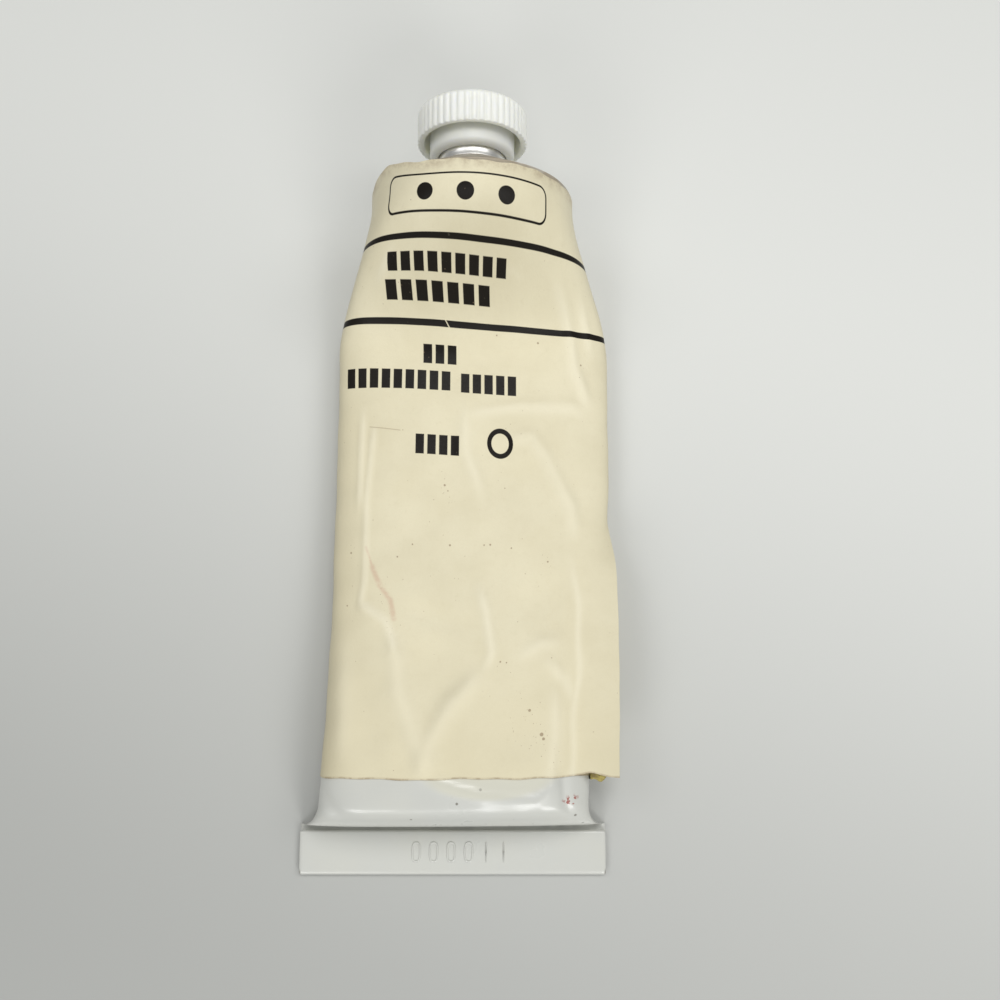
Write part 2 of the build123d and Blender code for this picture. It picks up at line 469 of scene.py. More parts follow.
@dataclass
class MetalTube:
    """The metal tube: folded end, pressed body, shoulder cone, threaded neck and its inside.

    Attributes:
        form: the pressed body's form.
        place: where it stands in the model.
        shoulder_rise: length of the shoulder cone.
        shoulder_wall: its thickness.
        neck_root: radius under the thread.
        neck_crest: radius over the thread.
        neck_length: from the shoulder to the lip.
        neck_bore: radius of the orifice.
        thread_pitch: how far the thread climbs in a turn.
        collar: radius of the plain band at the neck's foot.
        collar_length: length of that band.
        lip_radius: how round the lip is.
        under_label: how far the skin is drawn in where the label covers it.
        cover_start: where the drawing in begins and is full.
        cover_end: where it begins to end, and is over.
        bare_from: where the enamel ends and bare metal begins.
    """

    form: TubeForm
    place: Place
    shoulder_rise: float = 5.2
    shoulder_wall: float = 0.5
    neck_root: float = 4.3
    neck_crest: float = 4.68
    neck_length: float = 6.85
    neck_bore: float = 3.0
    thread_pitch: float = 1.6
    collar: float = 4.78
    collar_length: float = 1.75
    lip_radius: float = 0.3
    under_label: float = 0.06
    cover_start: tuple[float, float] = (15.2, 16.5)
    cover_end: tuple[float, float] = (93.6, 94.4)
    bare_from: float = 94.2

    @property
    def neck_at(self) -> float:
        """Where the neck stands on the shoulder."""
        return self.form.shoulder_at + self.shoulder_rise

    @property
    def lip_at(self) -> float:
        """The neck's open end."""
        return self.neck_at + self.neck_length

    def turned_ring(self, radius: float, y: float, share: Array, threaded: bool = False) -> Array:
        """Points of a circle about the neck's axis.

        Args:
            radius: its radius.
            y: its place along the axis.
            share: how far round each point is, as on the body.
            threaded: whether the thread stands on it.

        Returns:
            (x, y, z) of each point.
        """
        angle = (share - 0.25) * 2 * math.pi
        radii = np.full(share.shape, radius)
        if threaded:
            rise = thread_height(angle, np.full(share.shape, y), self.neck_at + self.collar_length,
                                 self.lip_at - 0.4, self.thread_pitch)
            radii = radii + (self.neck_crest - radius) * rise
        x = self.form.neck_shift + radii * np.cos(angle)
        z = self.form.axis_height + radii * np.sin(angle)
        return np.stack([x, np.full(share.shape, y), z], 1)

    def body_rows(self) -> list[float]:
        """Places along the body where its skin has a row of points."""
        form = self.form
        turns = np.linspace(0, math.pi / 2, 22)
        heel = [form.heel_from + form.heel_length * (1 - math.cos(a)) for a in turns]
        return heel + list(np.linspace(form.heel_at, form.shoulder_at, 126)[1:])

    def skin(self, share: Array) -> list[Array]:
        """Rings of the outside, from the fold's tucked end to the neck's lip."""
        form = self.form
        rings = [form.strip_ring(*step, share) for step in form.fold_path()]
        for y in self.body_rows():
            covered = fade(y, *self.cover_start) * (1 - fade(y, *self.cover_end))
            ring = form.ring(y, -self.under_label * covered, share)
            flat = 1 - ease(form.swell(y) * 2.5)
            rings.append(ring * (1 - flat) + form.strip_ring(y, form.strip / 2, 0.0, share) * flat)
        edge, slope = form.diameter / 2, self.shoulder_rise / (form.diameter / 2 - self.neck_crest)
        for inset in (0.12, 0.35, 0.8, 2.0, 3.6, 5.2, 6.8, 8.2):
            rings.append(self.turned_ring(edge - inset, form.shoulder_at + inset * slope, share))
        top = self.collar_length
        foot = ((0.3, -0.14), (0.04, -0.02), (-0.06, 0.04), (-0.06, 0.12), (0.0, 0.18))
        brow = ((0.0, top - 0.5), (-0.05, top - 0.3), (-0.2, top - 0.15), (-0.35, top - 0.08))
        for more, y in foot + brow:
            rings.append(self.turned_ring(self.collar + more, self.neck_at + y, share))
        for y in np.linspace(self.neck_at + top, self.lip_at - 0.4, 56):
            rings.append(self.turned_ring(self.neck_root, y, share, threaded=True))
        for a in np.linspace(0, math.pi, 9):
            middle = (self.neck_root + self.neck_bore) / 2
            half = (self.neck_root - self.neck_bore) / 2
            rings.append(self.turned_ring(middle + half * math.cos(a), self.lip_at - self.lip_radius
                                          + self.lip_radius * math.sin(a), share))
        return rings

    def lining(self, share: Array, gap: float) -> list[Array]:
        """Rings of the inside, from the neck's bore back to the fold, drawn in by gap."""
        form = self.form
        inset = form.wall + gap + self.under_label
        drop = self.shoulder_wall + gap
        rings = [self.turned_ring(self.neck_bore - gap, self.neck_at - drop, share)]
        edge = form.diameter / 2 - inset
        rings.append(self.turned_ring(edge - 0.3, form.shoulder_at - drop, share))
        for y in reversed(self.body_rows()):
            if form.heel_from + 0.25 < y < form.shoulder_at - drop - 0.3:
                ring = form.ring(y, -inset, share)
                ring[:, 1] += inset * (1 - form.swell(y))
                rings.append(ring)
        return rings

    def build(self) -> bpy.types.Object:
        """Makes the tube: a rolled blank with its seam and ends closed, bare at the shoulder."""
        share = np.linspace(0, 1, self.form.columns + 1)
        rings = self.skin(share) + self.lining(share, 0.0)
        table = self.place.points(np.array(rings))
        blank = Blank(self.form.columns, len(rings) - 1)
        blank.shape(table)
        close_ends(blank.bm)
        for face in blank.bm.faces:
            along = (face.calc_center_median().y - self.place.home.y) / MM
            face.material_index = int(along > self.bare_from)
        tube = finish_mesh(blank.bm, "metal_tube")
        sharpen(tube, 50)
        return tube


@dataclass
class PaintCharge:
    """The paint left in the tube, with a dried dome in the orifice.

    Attributes:
        tube: the tube it fills.
        gap: the room between it and the metal.
        below_lip: how deep in the orifice it ends.
        dome: how far its end bulges.
        columns: faces round it.
    """

    tube: MetalTube
    gap: float = 0.05
    below_lip: float = 0.9
    dome: float = 0.5
    columns: int = 128

    def build(self) -> bpy.types.Object:
        """Makes the paint's outside, which follows the tube's lining."""
        tube = self.tube
        share = np.linspace(0, 1, self.columns + 1)
        top = tube.lip_at - self.below_lip
        rings = []
        for a in np.linspace(0.02, math.pi / 2, 14):
            radius = (tube.neck_bore - self.gap) * math.sin(a)
            swirl = 0.1 * np.sin(3 * (share * 2 * math.pi) + 5 * a) * math.sin(2 * a)
            ring = tube.turned_ring(radius, top, share)
            ring[:, 1] += self.dome * math.cos(a) + swirl
            rings.append(ring)
        rings += tube.lining(share, self.gap)
        blank = Blank(self.columns, len(rings) - 1)
        blank.shape(tube.place.points(np.array(rings)))
        close_ends(blank.bm)
        return finish_mesh(blank.bm, "paint_charge")


# --- the paper label ------------------------------------------------------------------------


@dataclass
class PaperLabel:
    """The paper wrap: one cut sheet, glued round the body, with its end loose low on the right.

    Distances round the tube are counted from the top's middle, to the right.

    Attributes:
        form: the pressed body's form.
        place: where it stands in the model.
        girth: the way once round the tube over the glue.
        paper: the paper's thickness.
        glue: gap between the metal and the paper.
        start: where the sheet starts, under the lap.
        low: its lower edge.
        high: its upper edge.
        root_line: x of the crease that the loose end bends at.
        end_low: how far round the sheet reaches at its lower edge.
        end_high: how far round it reaches past the loose part.
        loose_edge: (along, x) of the loose end's free edge.
        loose_to: where the loose part ends.
        opening: length over which it closes up to the body.
        columns_glued: faces across the glued part.
        columns_loose: faces across the rest.
        rows: faces along the sheet.
        tries: halvings in the search for the loose end's slope.
    """

    form: TubeForm
    place: Place
    girth: float = 88.75
    paper: float = 0.1
    glue: float = 0.045
    start: float = -74.25
    low: float = 14.6
    high: float = 94.8
    root_line: float = 18.4
    end_low: float = 24.1
    end_high: float = 22.1
    loose_edge: tuple[tuple[float, float], ...] = (
        (14.6, 23.35), (22.0, 23.66), (29.0, 23.76), (38.0, 23.7), (43.5, 23.55), (46.0, 23.3),
        (47.8, 23.05), (50.6, 22.5))
    loose_to: float = 50.8
    opening: float = 19.0
    columns_glued: int = 215
    columns_loose: int = 18
    rows: int = 170
    tries: int = 20

    def end_at(self, v: Array) -> Array:
        """How far round the sheet's end reaches at each place along the tube."""
        t = np.clip((v - self.low) / 31, 0, 1)
        ragged = 0.05 * np.sin(0.9 * v) + 0.03 * np.sin(2.3 * v + 1)
        return self.end_low + (self.end_high - self.end_low) * t + ragged

    def flat(self) -> tuple[Array, Array]:
        """Distance round and distance along of every point of the sheet, as (row, column) tables."""
        v = np.linspace(self.low, self.high, self.rows + 1)[:, None]
        root = self.root_line - np.array([[self.form.middle_x(y)] for y in v[:, 0]])
        end = self.end_at(v)
        glued = np.linspace(0, 1, self.columns_glued + 1)[None, :]
        loose = np.linspace(0, 1, self.columns_loose + 1)[None, 1:]
        u = np.concatenate([self.start + (root - self.start) * glued, root + (end - root) * loose], 1)
        return u, np.repeat(v, u.shape[1], 1)

    def along(self, u: Array, v: Array) -> Array:
        """Place along the tube of each point of the sheet, whose lines aren't quite square to it."""
        tilt = np.interp(v, [self.low, 48, 80, 88, self.high], [0, 0.057, 0.057, 0.045, 0.02])
        skew = tilt * self.girth / (2 * math.pi) * np.sin(2 * math.pi * u / self.girth)
        waves = 0.07 * np.sin(0.43 * u + 0.6) + 0.05 * np.sin(1.13 * u)
        lip = 0.55 * np.exp(-(((u - 20.4) / 1.6) ** 2))
        hem = 1 - fade(v, self.low, self.low + 3)
        worn = 0.1 * np.sin(0.57 * u) + 0.07 * np.sin(1.7 * u + 1)
        brim = fade(v, self.high - 2, self.high)
        proud = 1.25 * np.exp(-(((u + 12.5) / 5) ** 2)) * fade(v, self.high - 8, self.high)
        return v - skew + (waves + lip) * hem - (0.12 + worn) * brim + proud

    def loose_strip(self, row: Array, v: float, u: Array) -> None:
        """Lays the unstuck end of one row out past the body, in place.

        Args:
            row: the row's glued points, which are changed.
            v: its place along the sheet.
            u: its distances round.
        """
        root = self.columns_glued
        before, at = row[root - 2], row[root]
        heading = math.atan2(at[2] - before[2], at[0] - before[0])
        edge = float(np.interp(v, *np.array(self.loose_edge).T))
        creased = 1 - float(fade(v, self.loose_to - self.opening, self.loose_to))
        steep, level = math.radians(-150), math.radians(10)
        for _ in range(self.tries):
            rest = (steep + level) / 2
            x, z = self.lay(at, heading, rest, u[root:], creased)
            steep, level = (rest, level) if x[-1] < edge else (steep, rest)
        clear = 1 - fade(v, self.loose_to - 1.4, self.loose_to)
        row[root + 1:, 0] += (x - row[root + 1:, 0]) * clear
        row[root + 1:, 2] += (np.maximum(z, 0.1) - row[root + 1:, 2]) * clear

    @staticmethod
    def lay(at: Array, heading: float, rest: float, u: Array, creased: float) -> tuple[Array, Array]:
        """Lays paper out from a crease, or round in a curve.

        Args:
            at: where the crease is.
            heading: slope of the paper before it.
            rest: slope of the paper past it, where it has settled.
            u: distances round, from the crease to the free edge.
            creased: 1 where it turns all at once at the crease, 0 where it turns evenly.

        Returns:
            x and z of the points past the crease.
        """
        away = (u[1:] - u[0]) / (u[-1] - u[0])
        bent = creased * ease(away * 5) + (1 - creased) * away ** 1.4
        turn = heading + (rest - heading) * bent + 0.22 * creased * (away - 0.5)
        step = np.diff(u)
        return at[0] + np.cumsum(step * np.cos(turn)), at[2] + np.cumsum(step * np.sin(turn))

    @cached_property
    def laid(self) -> tuple[Array, Array, Array]:
        """Places of the sheet's inner face, with its distances round and along."""
        u, v = self.flat()
        y = self.along(u, v)
        lap = self.start + self.girth
        lift = self.glue + (self.paper + 0.02) * fade(u, lap - 2.2, lap)
        rows = []
        for i in range(u.shape[0]):
            share = 0.5 - u[i] / self.girth
            rows.append(self.wrap(y[i], lift[i], share))
            if v[i, 0] < self.loose_to:
                self.loose_strip(rows[-1], v[i, 0], u[i])
        return self.eased(np.array(rows), v), u, v

    def eased(self, sheet: Array, v: Array) -> Array:
        """The sheet with its loose end smoothed along its length, where it comes clear of the body."""
        reach, spread, loose = 10, 4.5, slice(self.columns_glued + 1, None)
        weights = np.exp(-((np.arange(-reach, reach + 1) / spread) ** 2))
        padded = np.pad(sheet[:, loose, ::2], ((reach, reach), (0, 0), (0, 0)), mode="edge")
        smooth = sum(w * padded[i:i + len(sheet)] for i, w in enumerate(weights / weights.sum()))
        share = (1 - fade(v[:, :1], self.loose_to - 2, self.loose_to + 3))[:, :, None]
        sheet[:, loose, ::2] += (smooth - sheet[:, loose, ::2]) * share
        return sheet

    def wrap(self, y: Array, lift: Array, share: Array) -> Array:
        """Points on the skin at places y along it, blended between outlines at whole steps."""
        step = 0.5
        low = np.floor(y / step).astype(int)
        result = np.zeros((len(y), 3))
        for k in np.unique(np.concatenate([low, low + 1])):
            weight = np.clip(1 - np.abs(y / step - k), 0, 1)[:, None]
            ring = self.form.ring(float(k * step), 0.0, share)
            outer = self.form.ring(float(k * step), 1.0, share)
            result += weight * (ring + (outer - ring) * lift[:, None])
        result[:, 1] = y
        return result

    def build(self) -> bpy.types.Object:
        """Makes the label: a flat sheet that is wrapped, then given the paper's thickness."""
        table, u, v = self.laid
        length = self.end_low - self.start
        uv = np.stack([(u - self.start) / length, (v - self.low) / (self.high - self.low)], 2)
        blank = Blank(table.shape[1] - 1, table.shape[0] - 1)
        blank.shape(self.place.points(table))
        blank.map_uv("Flat", uv)
        # A lighter line along the crease the loose end bends at, partly rubbed paper and partly
        # painted highlight, joins the ridges' lightening in the second map.
        root = self.root_line + 0.35 - np.array([[self.form.middle_x(y)] for y in v[:, 0]])
        away = u - root - 0.55 * np.sin(0.2 * v + 1.2) + 0.2 * np.sin(0.6 * v)
        fold_wear_and_highlight = np.exp(-((away / 0.5) ** 2)) * (1 - fade(v, 40.0, 48.0)) * 0.8
        worn = np.maximum(self.form.worn(u, v), fold_wear_and_highlight)
        blank.map_uv("Wear_and_highlight", np.stack([worn, worn], 2))
        for edge in blank.bm.edges:
            edge.smooth = not edge.is_boundary
        label = finish_mesh(blank.bm, "paper_label", outward=False)
        self.turn_outward(label)
        thick = label.modifiers.new("paper", "SOLIDIFY")
        thick.thickness = self.paper * MM
        thick.offset = 1.0
        thick.use_even_offset = True
        return label

    @staticmethod
    def turn_outward(label: bpy.types.Object) -> None:
        """Flips the sheet if the face on top of the tube looks down."""
        mesh = label.data
        top = max(mesh.polygons, key=lambda p: p.center.z)
        if top.normal.z < 0:
            mesh.flip_normals()


@dataclass
class GlueBead:
    """A scrap of dried yellow glue that sticks out under the label's low edge, by the loose end.

    Attributes:
        label: the paper it sticks to.
        start: x of its left end.
        end: x of its right end.
        reach: how far it sticks out.
        thick: its thickness.
    """

    label: PaperLabel
    start: float = 19.3
    end: float = 21.7
    reach: float = 1.1
    thick: float = 0.14

    def build(self) -> bpy.types.Object:
        """Makes the scrap against the paper's inner face."""
        edge = self.label.laid[0][0]
        edge = edge[(edge[:, 0] > self.start) & (edge[:, 0] < self.end) & (edge[:, 2] > 2)]
        t = np.linspace(0, 1, len(edge))
        out = self.reach * np.sin(math.pi * t ** 1.8) ** 0.6 * (0.85 + 0.15 * np.sin(17 * t))
        rows = []
        for share in (-1.0, -0.4, 0.3, 0.7, 0.92, 1.0):
            row = edge.copy()
            row[:, 1] -= out * share
            row[:, 2] -= 0.22 + 0.1 * abs(share) + 0.05 * np.sin(9 * t)
            rows.append(row)
        blank = Blank(len(edge) - 1, len(rows) - 1)
        blank.shape(self.label.place.points(np.array(rows)))
        bmesh.ops.solidify(blank.bm, geom=blank.bm.faces[:], thickness=-self.thick * MM)
        return finish_mesh(blank.bm, "glue_scrap")


@dataclass
class FoldMarks:
    """Plain ovals and bars stamped up out of the folded strip.

    Attributes:
        form: the pressed body's form.
        place: where it stands in the model.
        start: x of the first mark's middle.
        pitch: distance between middles.
        long: height of a mark.
        wide: width of an oval.
        bar: width of a bar.
        line: half-width of the raised line.
        proud: how far it stands up.
    """

    form: TubeForm
    place: Place
    start: float = -5.2
    pitch: float = 2.5
    long: float = 2.9
    wide: float = 1.4
    bar: float = 0.3
    line: float = 0.15
    proud: float = 0.12

    def build(self) -> bpy.types.Object:
        """Makes the marks as one piece that is sunk into the strip."""
        bm = bmesh.new()
        top = 3 * self.form.strip + 2 * self.form.fold_gap
        for i, wide in enumerate(4 * (self.wide,) + 2 * (self.bar,)):
            middle = np.array([self.start + i * self.pitch, self.form.fold_width / 2 + 0.1, top])
            self.add_loop(bm, middle, wide / 2 - self.line, self.long / 2 - self.line)
        return finish_mesh(bm, "fold_marks")

    def add_loop(self, bm: bmesh.types.BMesh, middle: Array, across: float, along: float) -> None:
        """Adds one oval of half-round wire.

        Args:
            bm: the mesh it is added to.
            middle: the oval's middle, on the strip.
            across: its half-width.
            along: its half-length.
        """
        turns, sides = 40, 8
        blank = bmesh.ops.create_grid(bm, x_segments=turns, y_segments=sides, size=0.5)["verts"]
        flat = np.array([v.co[:2] for v in blank]) + 0.5
        a, b = flat[:, 0] * 2 * math.pi, flat[:, 1] * 2 * math.pi
        c, s = np.cos(a), np.sin(a)
        x = middle[0] + across * np.sign(c) * np.abs(c) ** 0.6 + self.line * np.cos(b) * c
        y = middle[1] + along * np.sign(s) * np.abs(s) ** 0.8 + self.line * np.cos(b) * s
        z = middle[2] + self.proud * np.sin(b)
        for v, co in zip(blank, self.place.points(np.stack([x, y, z], 1))):
            v.co = co
        weld(bm)


# --- the cap --------------------------------------------------------------------------------


@dataclass
class ScrewCap:
    """The cap: a ribbed skirt round a longer socket with an inside thread, moulded as one.

    Attributes:
        tube: the tube it is screwed on.
        place: where it stands in the model.
        length: from the lid to the socket's mouth.
        skirt_length: from the lid to the skirt's rim.
        radius: of the skirt, over its ribs.
        skirt_wall: thickness of the skirt.
        socket_radius: outside radius of the socket.
        bore: radius of the socket under its thread.
        thread_crest: radius over its thread.
        lid: thickness of the lid.
        seat_gap: between the neck's lip and the lid.
        ribs: how many.
        rib_depth: depth of the grooves between them.
        steps_per_rib: faces across one rib.
    """

    tube: MetalTube
    place: Place
    length: float = 7.0
    skirt_length: float = 4.7
    radius: float = 7.85
    skirt_wall: float = 1.0
    socket_radius: float = 6.05
    bore: float = 4.9
    thread_crest: float = 4.42
    lid: float = 1.2
    seat_gap: float = 0.05
    ribs: int = 48
    rib_depth: float = 0.24
    steps_per_rib: int = 8

    @property
    def end(self) -> float:
        """The closed end's place along the neck's axis."""
        return self.tube.lip_at + self.seat_gap + self.lid

    def section(self) -> list[tuple[float, float]]:
        """(radius, y) corners of its half section, from the lid's outside to the lid's inside."""
        end, mouth, rim = self.end, self.end - self.length, self.end - self.skirt_length
        under, inner = end - self.lid, self.radius - self.skirt_wall
        corners = [(0.0, end - 0.12), (0.7, end - 0.12), (0.85, end - 0.02), (3.0, end)]
        corners += self.bend(self.radius - 0.8, end - 0.8, 0.8, 90, 0, 8)
        corners += [(self.radius, y) for y in np.linspace(end - 1.0, rim + 0.4, 6)]
        corners += self.bend(self.radius - 0.16, rim + 0.16, 0.16, 0, -90, 4)
        corners += self.bend(inner + 0.35, rim + 0.35, 0.35, -90, -180, 5)
        corners += [(inner, rim + 1.4), (inner - 0.05, under + 0.4)]
        socket = self.socket_radius
        corners += [(inner - 0.3, under), (socket + 0.3, under), (socket, under - 0.3)]
        corners += [(socket, y) for y in (rim + 1.0, rim, mouth + 1.2)]
        corners += self.bend(socket - 0.85, mouth + 0.85, 0.85, 0, -90, 9)
        corners += self.bend(self.bore + 0.2, mouth + 0.2, 0.2, -90, -180, 4)
        corners += [(self.bore, y) for y in np.linspace(mouth + 0.3, under - 0.5, 44)]
        corners += [(self.bore - 0.15, under), (self.tube.neck_root, under), (3.2, under)]
        corners += [(2.9, under - 0.03), (2.5, under - 0.04), (0.0, under - 0.04)]
        return corners

    @staticmethod
    def bend(r: float, y: float, size: float, start: int, end: int, steps: int) -> list[Any]:
        """(radius, y) points of a rounded corner about (r, y), from start to end degrees."""
        angles = [math.radians(start + (end - start) * i / steps) for i in range(steps + 1)]
        return [(r + size * math.cos(a), y + size * math.sin(a)) for a in angles]

    def build(self) -> bpy.types.Object:
        """Makes the cap: its half section is spun about the axis, then ribbed and threaded."""
        bm = bmesh.new()
        verts = [bm.verts.new((r, y, 0.0)) for r, y in self.section()]
        for a, b in zip(verts, verts[1:]):
            bm.edges.new((a, b))
        bmesh.ops.spin(bm, geom=bm.verts[:] + bm.edges[:], cent=(0, 0, 0), axis=(0, 1, 0),
                       dvec=(0, 0, 0), angle=2 * math.pi, steps=self.ribs * self.steps_per_rib,
                       use_merge=True, use_normal_flip=False, use_duplicate=False)
        bmesh.ops.remove_doubles(bm, verts=bm.verts, dist=1e-4)
        for v in bm.verts:
            self.press_detail(v)
        form = self.tube.form
        home = self.place.home + Vector((form.neck_shift, 0, form.axis_height)) * MM
        to_model = Matrix.Translation(home) @ Matrix.Scale(MM, 4)
        bmesh.ops.transform(bm, matrix=to_model, verts=bm.verts)
        cap = finish_mesh(bm, "screw_cap")
        sharpen(cap, 60)
        return cap

    def press_detail(self, v: bmesh.types.BMVert) -> None:
        """Moves one corner in or out for the skirt's ribs and the socket's thread."""
        r = math.hypot(v.co.x, v.co.z)
        angle = math.atan2(v.co.z, v.co.x)
        if r > self.radius - 0.55:
            groove = (0.5 + 0.5 * math.cos(angle * self.ribs)) ** 2.2
            share = 1 - self.rib_depth * groove * float(fade(self.end - v.co.y, 0.0, 0.9)) / r
        elif self.bore - 0.01 < r < self.bore + 0.01:
            tube = self.tube
            start = tube.neck_at + tube.collar_length + 0.9
            at = np.array(v.co.y + tube.thread_pitch / 2)
            rise = thread_height(np.array(angle), at, start, self.end - self.lid, tube.thread_pitch)
            share = 1 - (self.bore - self.thread_crest) * float(rise) / r
        else:
            return
        v.co.x *= share
        v.co.z *= share


# --- shader graphs --------------------------------------------------------------------------

Colour = tuple[float, float, float]


class Field:
    """A number that varies over a surface, which Python arithmetic turns into Math nodes."""

    def __init__(self, graph: "Graph", socket: bpy.types.NodeSocket) -> None:
        """Wraps one output socket of a graph."""
        self.graph, self.socket = graph, socket

    def _math(self, operation: str, *values: Any) -> "Field":
        """Adds a Math node."""
        return self.graph.field("ShaderNodeMath", {"operation": operation}, dict(enumerate(values)))

    def __add__(self, other: Any) -> "Field":
        """Sum."""
        return self._math("ADD", self, other)

    __radd__ = __add__

    def __sub__(self, other: Any) -> "Field":
        """Difference."""
        return self._math("SUBTRACT", self, other)

    def __rsub__(self, other: Any) -> "Field":
        """Difference, reflected."""
        return self._math("SUBTRACT", other, self)

    def __mul__(self, other: Any) -> "Field":
        """Product."""
        return self._math("MULTIPLY", self, other)

    __rmul__ = __mul__

    def __truediv__(self, other: Any) -> "Field":
        """Quotient."""
        return self._math("DIVIDE", self, other)

    def __abs__(self) -> "Field":
        """Absolute value."""
        return self._math("ABSOLUTE", self)

    def __mod__(self, other: Any) -> "Field":
        """Remainder, positive for a positive divisor."""
        return self._math("FLOORED_MODULO", self, other)

    def least(self, other: Any) -> "Field":
        """The smaller of two."""
        return self._math("MINIMUM", self, other)

    def most(self, other: Any) -> "Field":
        """The larger of two."""
        return self._math("MAXIMUM", self, other)

    def root(self) -> "Field":
        """Square root."""
        return self._math("SQRT", self)

    def step(self, start: float, end: float) -> "Field":
        """0 below start and 1 above end, or the other way round where end is the smaller."""
        low, high, rising = min(start, end), max(start, end), end > start
        inputs = {"Value": self, "From Min": low, "From Max": high,
                  "To Min": 0.0 if rising else 1.0, "To Max": 1.0 if rising else 0.0}
        return self.graph.field("ShaderNodeMapRange", {"interpolation_type": "SMOOTHSTEP"}, inputs)


class Graph:
    """The node tree of one material."""

    def __init__(self, name: str) -> None:
        """Makes a material with an empty Principled shader."""
        self.material = bpy.data.materials.new(name)
        self.material.use_nodes = True
        self.tree = self.material.node_tree
        self.shader = self.tree.nodes["Principled BSDF"]

    def node(self, kind: str, settings: dict[str, Any], inputs: dict[Any, Any]) -> bpy.types.Node:
        """Adds a node.

        Args:
            kind: its type.
            settings: its attributes, set first; "stops" holds a colour ramp's (place, colour).
            inputs: values or links of its sockets, by name or number.

        Returns:
            The node.
        """
        node = self.tree.nodes.new(kind)
        for key, value in settings.items():
            if key == "stops":
                self.fill_ramp(node.color_ramp, value)
            else:
                setattr(node, key, value)
        for key, value in inputs.items():
            self.feed(node.inputs[key], value)
        return node

    @staticmethod
    def fill_ramp(ramp: bpy.types.ColorRamp, stops: Sequence[tuple[float, Colour]]) -> None:
        """Gives a colour ramp its stops."""
        while len(ramp.elements) < len(stops):
            ramp.elements.new(1.0)
        for element, (place, colour) in zip(ramp.elements, stops):
            element.position, element.color = place, (*colour, 1.0)

    def feed(self, socket: bpy.types.NodeSocket, value: Any) -> None:
        """Links or sets one input."""
        if isinstance(value, Field):
            self.tree.links.new(value.socket, socket)
        elif isinstance(value, bpy.types.NodeSocket):
            self.tree.links.new(value, socket)
        elif socket.type == "RGBA" and len(value) == 3:
            socket.default_value = (*value, 1.0)
        else:
            socket.default_value = value

    def field(self, kind: str, settings: dict[str, Any], inputs: dict[Any, Any],
              output: Any = 0) -> Field:
        """Adds a node and wraps one of its outputs."""
        return Field(self, self.node(kind, settings, inputs).outputs[output])

    def noise(self, place: Any, scale: float, detail: float = 3.0, roughness: float = 0.55) -> Field:
        """Soft noise from 0 to 1."""
        inputs = {"Vector": place, "Scale": scale, "Detail": detail, "Roughness": roughness}
        return self.field("ShaderNodeTexNoise", {}, inputs)

    def specks(self, place: Any, scale: float, size: float) -> Field:
        """1 in small round spots, and 0 between them."""
        inputs = {"Vector": place, "Scale": scale}
        spots = self.field("ShaderNodeTexVoronoi", {"feature": "F1"}, inputs, "Distance")
        return spots.step(size, size * 0.55)

    def blend(self, share: Any, first: Any, second: Any) -> bpy.types.NodeSocket:
        """A colour from first to second as share goes from 0 to 1."""
        node = self.node("ShaderNodeMix", {"data_type": "RGBA"}, {0: share, 6: first, 7: second})
        return node.outputs[2]

    def place(self, scale: Colour = (1.0, 1.0, 1.0)) -> bpy.types.NodeSocket:
        """The point on the object, stretched along each axis."""
        at = self.node("ShaderNodeTexCoord", {}, {}).outputs["Object"]
        return self.node("ShaderNodeMapping", {}, {"Vector": at, "Scale": scale}).outputs[0]

    def axes(self, vector: bpy.types.NodeSocket) -> tuple[Field, Field, Field]:
        """The three numbers of a vector."""
        node = self.node("ShaderNodeSeparateXYZ", {}, {0: vector})
        return tuple(Field(self, node.outputs[i]) for i in range(3))

    def bump(self, height: Field, distance: float, strength: float = 1.0) -> None:
        """Feeds a height to the shader's normal, distance in metres."""
        inputs = {"Height": height, "Distance": distance, "Strength": strength}
        self.feed(self.shader.inputs["Normal"], self.node("ShaderNodeBump", {}, inputs).outputs[0])

    def set(self, **inputs: Any) -> None:
        """Sets or links inputs of the shader, with underscores for the spaces in their names."""
        for key, value in inputs.items():
            self.feed(self.shader.inputs[key.replace("_", " ")], value)


# --- print ----------------------------------------------------------------------------------

INK_EDGE = 0.04


@dataclass(frozen=True)
class Rule:
    """A straight printed bar right across the label.

    Attributes:
        v: its place along the label.
        half: half its height.
    """

    v: float
    half: float

    def mask(self, u: Field, v: Field) -> Field:
        """1 where it prints."""
        return abs(v - self.v).step(self.half + INK_EDGE, self.half - INK_EDGE)


@dataclass(frozen=True)
class Word:
    """A word without letters: a row of plain upright blocks.

    Attributes:
        u: left end.
        v: baseline.
        width: length of the row.
        height: of the blocks.
        blocks: how many.
        gap: share of each step that is left blank.
    """

    u: float
    v: float
    width: float
    height: float
    blocks: int
    gap: float = 0.28

    def mask(self, u: Field, v: Field) -> Field:
        """1 where it prints."""
        step = self.width / self.blocks
        half = step * (1 - self.gap) / 2
        across = abs(((u - self.u) % step) - step / 2) - half
        along = abs(v - (self.v + self.height / 2)) - self.height / 2
        inside = abs(u - (self.u + self.width / 2)).step(self.width / 2 + 0.02, self.width / 2 - 0.02)
        return across.most(along).step(0.05, -0.05) * inside


@dataclass(frozen=True)
class Disc:
    """A printed disc, or a ring where it has a hole.

    Attributes:
        u: its middle round the tube.
        v: its middle along the tube.
        radius: outside radius.
        hole: radius of its hole.
        squash: its height over its width.
    """

    u: float
    v: float
    radius: float
    hole: float = 0.0
    squash: float = 1.0

    def mask(self, u: Field, v: Field) -> Field:
        """1 where it prints."""
        du, dv = u - self.u, (v - self.v) / self.squash
        away = (du * du + dv * dv).root()
        disc = away.step(self.radius + INK_EDGE, self.radius - INK_EDGE)
        if not self.hole:
            return disc
        return disc * away.step(self.hole - INK_EDGE, self.hole + INK_EDGE)


